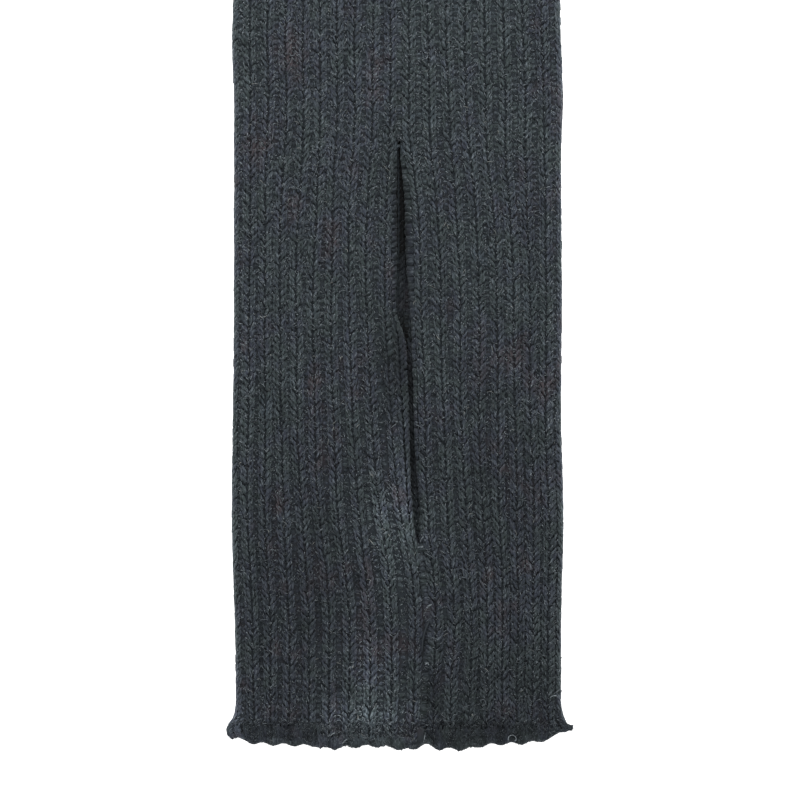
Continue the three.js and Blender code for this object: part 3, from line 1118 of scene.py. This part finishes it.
def heather_wool(name, base_tones, fibre):
    """Brushed wool-blend yarn in dark heather: colour drifts between slate, teal and brown.

    It is matt, with a pale bloom of fibre ends at grazing angles and short streaks that
    follow the yarn.
    """
    material = bpy.data.materials.new(name)
    material.use_nodes = True
    tree = material.node_tree
    tree.nodes.clear()
    place = node(tree, "ShaderNodeTexCoord").outputs["Object"]
    # Dyed patches are longer up the tube than across
    stretched = node(tree, "ShaderNodeMapping", {"Scale": (1, 0.7, 1)}, Vector=place)
    patches = node(
        tree,
        "ShaderNodeTexNoise",
        {"Scale": 1 / (PATCH_LENGTH * MM), "Detail": 3.0, "Roughness": 0.65},
        Vector=stretched.outputs["Vector"],
    )
    ramp = node(tree, "ShaderNodeValToRGB", Fac=patches.outputs["Fac"])
    stops = ramp.color_ramp.elements
    for stop, (at, colour) in zip((stops[0], stops[1]), (base_tones[0], base_tones[-1])):
        stop.position = at
        stop.color = to_linear(colour)
    for at, colour in base_tones[1:-1]:
        stops.new(at).color = to_linear(colour)
    # Each stitch is a little lighter or darker than the next, and its painted shade darkens it
    # further
    tone = node(tree, "ShaderNodeAttribute", {"attribute_name": "tone"})
    lightness = node(
        tree,
        "ShaderNodeMapRange",
        {"To Min": 0.84, "To Max": 1.16},
        Value=tone.outputs["Fac"],
    )
    dimmed = node(tree, "ShaderNodeMath", {"operation": "MULTIPLY"})
    tree.links.new(light_left(tree), dimmed.inputs[0])
    tree.links.new(lightness.outputs["Result"], dimmed.inputs[1])
    toned = node(
        tree,
        "ShaderNodeVectorMath",
        {"operation": "SCALE"},
        Vector=ramp.outputs["Color"],
        Scale=dimmed.outputs["Value"],
    )
    # Fibres wound round the yarn, coarser than real ones so that they show
    wound = node(tree, "ShaderNodeUVMap", {"uv_map": "yarn"}).outputs["UV"]
    twisted = node(
        tree,
        "ShaderNodeMapping",
        {"Rotation": (0, 0, 0.35), "Scale": (9, 2.2, 1)},
        Vector=wound,
    )
    fibres = node(
        tree,
        "ShaderNodeTexNoise",
        {"Scale": 1.0, "Detail": 3.0, "Roughness": 0.7},
        Vector=twisted.outputs["Vector"],
    )
    streak = node(
        tree,
        "ShaderNodeMapRange",
        {"From Min": 0.5, "From Max": 0.72},
        Value=fibres.outputs["Fac"],
    )
    mixed = node(tree, "ShaderNodeMix", {"data_type": "RGBA"})
    tree.links.new(streak.outputs["Result"], mixed.inputs[MIX_FACTOR])
    tree.links.new(toned.outputs["Vector"], mixed.inputs[MIX_FIRST])
    streaked = node(
        tree,
        "ShaderNodeVectorMath",
        {"operation": "SCALE", 0: to_linear(fibre)[:3]},
        Scale=dimmed.outputs["Value"],
    )
    tree.links.new(streaked.outputs["Vector"], mixed.inputs[MIX_SECOND])
    bump = node(
        tree,
        "ShaderNodeBump",
        {"Strength": 0.45, "Distance": 0.2 * MM},
        Height=fibres.outputs["Fac"],
    )
    surface = node(
        tree,
        "ShaderNodeBsdfPrincipled",
        {
            "Roughness": 0.9,
            "Specular IOR Level": 0.2,
            "Sheen Weight": 0.25,
            "Sheen Roughness": 0.5,
            "Sheen Tint": to_linear("#9aa4aa"),
        },
        Base_Color=mixed.outputs[MIXED_COLOUR],
        Normal=bump.outputs["Normal"],
    )
    output = node(tree, "ShaderNodeOutputMaterial")
    tree.links.new(surface.outputs["BSDF"], output.inputs["Surface"])
    return material


def loose_fibre(name, dark, light):
    """Single fibres of the wool blend, most of them nearly as dark as the yarn."""
    material = bpy.data.materials.new(name)
    material.use_nodes = True
    tree = material.node_tree
    surface = tree.nodes["Principled BSDF"]
    tone = node(tree, "ShaderNodeAttribute", {"attribute_name": "tone"})
    ramp = node(tree, "ShaderNodeValToRGB", Fac=tone.outputs["Fac"])
    low, high = ramp.color_ramp.elements
    low.position, high.position = 0.35, 1
    low.color, high.color = to_linear(dark), to_linear(light)
    # Painted shade: the fibre's shade attribute darkens its colour
    dimmed = node(
        tree,
        "ShaderNodeVectorMath",
        {"operation": "SCALE"},
        Vector=ramp.outputs["Color"],
        Scale=light_left(tree),
    )
    tree.links.new(dimmed.outputs["Vector"], surface.inputs["Base Color"])
    surface.inputs["Roughness"].default_value = 0.6
    surface.inputs["Specular IOR Level"].default_value = 0.3
    return material


def light_left(tree):
    """What the stitch's painted shade leaves of its colour."""
    shade = node(tree, "ShaderNodeAttribute", {"attribute_name": "shade"})
    left = node(tree, "ShaderNodeMath", {"operation": "SUBTRACT", 0: 1.0})
    tree.links.new(shade.outputs["Fac"], left.inputs[1])
    return left.outputs["Value"]


def wear(piece, material):
    piece.data.materials.clear()
    piece.data.materials.append(material)


# Stage

# The photo is 800 pixels wide at 0.318 mm a pixel, and its middle pixel lies here in the tube
PIXEL = 0.318
PICTURE = 800
PHOTO_MIDDLE_COLUMN = 397.5
PHOTO_CREASE_ROW = 731
VIEW_MIDDLE_POINT = cad_high.copy()
VIEW_MIDDLE_POINT.x = ((PICTURE / 2 - PHOTO_MIDDLE_COLUMN) * PIXEL - ACROSS_MIDDLE) * MM
VIEW_MIDDLE_POINT.y = ((PHOTO_CREASE_ROW - PICTURE / 2) * PIXEL - UP_MIDDLE) * MM
LENS = 300
SENSOR = 36
CAMERA_HEIGHT = cad_high.z + PICTURE * PIXEL * MM * LENS / SENSOR
# Places and sizes in metres, and powers in watts
FLOOR_SIZE = 6
FLOOR_HEIGHT = -0.0005
LIGHTS = (
    dict(name="key", place=(0.1, 0.47, 0.56), size=0.5, power=5.0),
    dict(name="fill", place=(-0.9, -0.5, 1.4), size=1.2, power=5.0),
)


def studio():
    """The stage, the light and the camera.

    The table is white and backlit, so it shows no shadow. The soft light comes mostly from
    above the picture.
    """
    deselect()
    bpy.ops.mesh.primitive_plane_add(size=FLOOR_SIZE, location=(0, 0, FLOOR_HEIGHT))
    floor = bpy.context.object
    floor.name = "floor"
    paper = bpy.data.materials.new("backlit_white_acrylic")
    paper.use_nodes = True
    surface = paper.node_tree.nodes["Principled BSDF"]
    surface.inputs["Base Color"].default_value = to_linear("#f4f4f4")
    surface.inputs["Roughness"].default_value = 0.95
    surface.inputs["Emission Color"].default_value = (1, 1, 1, 1)
    surface.inputs["Emission Strength"].default_value = 1.0
    wear(floor, paper)

    world = bpy.data.worlds.new("soft_room")
    world.use_nodes = True
    room = world.node_tree.nodes["Background"]
    room.inputs["Color"].default_value = (1, 1, 1, 1)
    room.inputs["Strength"].default_value = 0.42
    bpy.context.scene.world = world

    for lighting in LIGHTS:
        light = bpy.data.lights.new(lighting["name"], "AREA")
        light.size = lighting["size"]
        light.energy = lighting["power"]
        lamp = bpy.data.objects.new(lighting["name"], light)
        lamp.location = lighting["place"]
        aim = VIEW_MIDDLE_POINT - lamp.location
        lamp.rotation_euler = aim.to_track_quat("-Z", "Y").to_euler()
        bpy.context.scene.collection.objects.link(lamp)

    camera = bpy.data.cameras.new("above")
    camera.lens = LENS
    camera.sensor_width = SENSOR
    camera.clip_end = 20
    eye = bpy.data.objects.new("above", camera)
    eye.location = (VIEW_MIDDLE_POINT.x, VIEW_MIDDLE_POINT.y, CAMERA_HEIGHT)
    bpy.context.scene.collection.objects.link(eye)
    bpy.context.scene.camera = eye
    bpy.context.scene.view_settings.view_transform = "Standard"


# The leg warmer

yarn = heather_wool("brushed_wool_blend_yarn", WOOL_TONES, "#727b82")
# The ground wears the same wool painted darker, with darker streaks, as painted shade between the
# stitches
ground = heather_wool("shaded_wool_ground", SHADED_GROUND_TONES, "#5a6268")
fibre = loose_fibre("loose_wool_fibre", "#2e343a", "#929ba1")
pale_fibre = loose_fibre("undyed_fibre", "#6f7475", "#c4c6c2")

cloth = tube_cloth()
wear(cloth, ground)
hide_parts("shin_side", "calf_left", "calf_right")

full_length = yarn_length(5, 4)
light_length = yarn_length(5, 3)
strand = yarn_length(4, 3, math.pi / 4)
fibre_end = yarn_length(3, 3)
curl = yarn_length(3, 5)

WALE_LOW = HEM_START - 8.5
left_crowns = np.arange(CROWN, RIBS_LEFT + 0.1)
right_crowns = np.arange(RIBS - RIBS_RIGHT, RIBS)
left_turn, left_along = every_course(left_crowns, WALE_LOW, KNEE_END)
# The half rib that shows where the left lip bends away from its first whole rib
HALF_RIB = 0.2
HALF_RIB_TOP = 128
SEEN_LOW = SLIT_END - 6
strip_turn, strip_along = every_course([HALF_RIB], SEEN_LOW, HALF_RIB_TOP)
calf_left_wales = knit_wales(
    "calf_left_wales",
    strand,
    np.concatenate([left_turn, strip_turn]),
    np.concatenate([left_along, strip_along]),
)
calf_right_wales = knit_wales(
    "calf_right_wales",
    strand,
    *every_course(right_crowns, WALE_LOW, KNEE_END),
)
shin_crowns = np.arange(RIBS_LEFT + 1, RIBS - RIBS_RIGHT - 0.5)
shin_wales = knit_wales(
    "shin_wales",
    fibre_end,
    *every_course(shin_crowns, WALE_LOW, KNEE_END),
    strands=SHIN_STRANDS,
)
calf_purls = groove_purls("calf_purls", fibre_end, *calf_purl_places())
shin_grooves = np.arange(math.ceil(RIBS_LEFT), RIBS - RIBS_RIGHT)
turn, along = every_course(shin_grooves, PURL_LOW, KNEE_END)
shin_purls = groove_purls("shin_purls", fibre_end, turn, along)

# The inside of the shin side, as far as it shows through the slit
SHIN_INSIDE = 2.7
SEEN_HIGH = SLIT_APEX + 4
INNER_CROWNS = np.arange(18, 22)
INNER_GROOVES = np.arange(17.5, 22)
INNER_NAP_COUNT = 1500
# Painted shade on the inside of the shin side seen through the slit, by how far up the tube
INNER_SHADE = table(
    "up shade",
    (60, 0.8),
    (112, 0.6),
    (132, 0.3),
    (148, 0.55),
    (162, 0.85),
    (190, 0.95),
)
inner_shade = curve_of(INNER_SHADE, "up", "shade")
turn, along = every_course(INNER_CROWNS, SEEN_LOW, SEEN_HIGH)
inner_wales = knit_wales(
    "inner_wales", strand, turn, along, inside=SHIN_INSIDE, shade=inner_shade(along)
)
turn, along = every_course(INNER_GROOVES, SEEN_LOW, SEEN_HIGH)
inner_purls = groove_purls(
    "inner_purls", light_length, turn, along, SHIN_INSIDE, inner_shade(along)
)

# The edges and the folds
KNEE_LOOP_DROP = 0.6
lips = lip_loops("slit_lips", light_length)
fingers = edge_loops("hem_fingers", full_length, -HEM_DEPTH, 1)
knee_loops = edge_loops("knee_edge_loops", full_length, KNEE_END - KNEE_LOOP_DROP, -1)
folds = fold_yarns("fold_yarns", fibre_end)
# The frill has four stitches for each rib, and the ribs run on in its raised stretch
FRILL_SPACING = 0.25
FRILL_SPREAD = 0.4
FRILL_RIM = 2
frill_turns = np.arange(FRILL_SPACING, RIBS, FRILL_SPACING)
turn, along = every_course(frill_turns, -HEM_DEPTH - 0.2, 0)
across = envelope(turn, along)[:, 0] + ACROSS_MIDDLE
ribs_run_on = (turn < RIBS_LEFT) & (across > RAISED_FROM)
frilled = ~ribs_run_on | (along < -HEM_DEPTH + FRILL_RIM)
frill_stitches = knit_wales(
    "frill_stitches", fibre_end, turn[frilled], along[frilled], spread=FRILL_SPREAD
)

# The fibre ends, densest on the foot half, which the photo shows
NAP_SPLIT = 245
hair = hair_template()
foot_nap = fuzz(
    "foot_half_nap",
    hair,
    calf_places(38000, high=NAP_SPLIT),
    sizes=(0.6, 2.1),
    half_width=0.15,
    bend=0,
    lift=0.12,
)
knee_nap = fuzz(
    "knee_half_nap",
    hair,
    calf_places(14000, low=NAP_SPLIT),
    sizes=(0.6, 2.3),
    half_width=0.17,
    bend=0,
    lift=0.12,
)
bloom = fuzz(
    "fibre_bloom",
    fibre_end,
    calf_places(2200),
    sizes=(1.4, 4.5),
    half_width=0.07,
    bend=0.9,
    lift=0.35,
)
bright = fuzz(
    "pale_fibres",
    curl,
    calf_places(800),
    sizes=(0.9, 3),
    half_width=0.08,
    bend=1.4,
    lift=0.3,
)
tails = loose_ends("yarn_tails", yarn_length(4, 12))
hem_nap = fuzz(
    "hem_nap",
    hair,
    calf_places(3500, low=-HEM_DEPTH - 0.7, high=HEM_START),
    sizes=(0.9, 2.6),
    half_width=0.09,
    bend=0,
    lift=0.1,
)
turn = RANDOM.uniform(17.8, 21.8, INNER_NAP_COUNT)
along = RANDOM.uniform(SLIT_END, SLIT_APEX, INNER_NAP_COUNT)
inner_nap = fuzz(
    "inner_nap",
    hair,
    (turn, along),
    sizes=(0.6, 2),
    half_width=0.12,
    bend=0,
    lift=0.15,
    inside=SHIN_INSIDE,
    shade=inner_shade(along),
)

knitted = [
    calf_left_wales,
    calf_right_wales,
    shin_wales,
    inner_wales,
    calf_purls,
    shin_purls,
    inner_purls,
    lips,
    fingers,
    knee_loops,
    folds,
    frill_stitches,
]
for piece in knitted:
    wear(piece, yarn)
for piece in (foot_nap, knee_nap, inner_nap, bloom, hem_nap, tails):
    wear(piece, fibre)
wear(bright, pale_fibre)
pieces = [*knitted, foot_nap, knee_nap, inner_nap, bloom, hem_nap, bright, tails]
for piece in [cloth, *pieces]:
    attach(piece, "root")

studio()
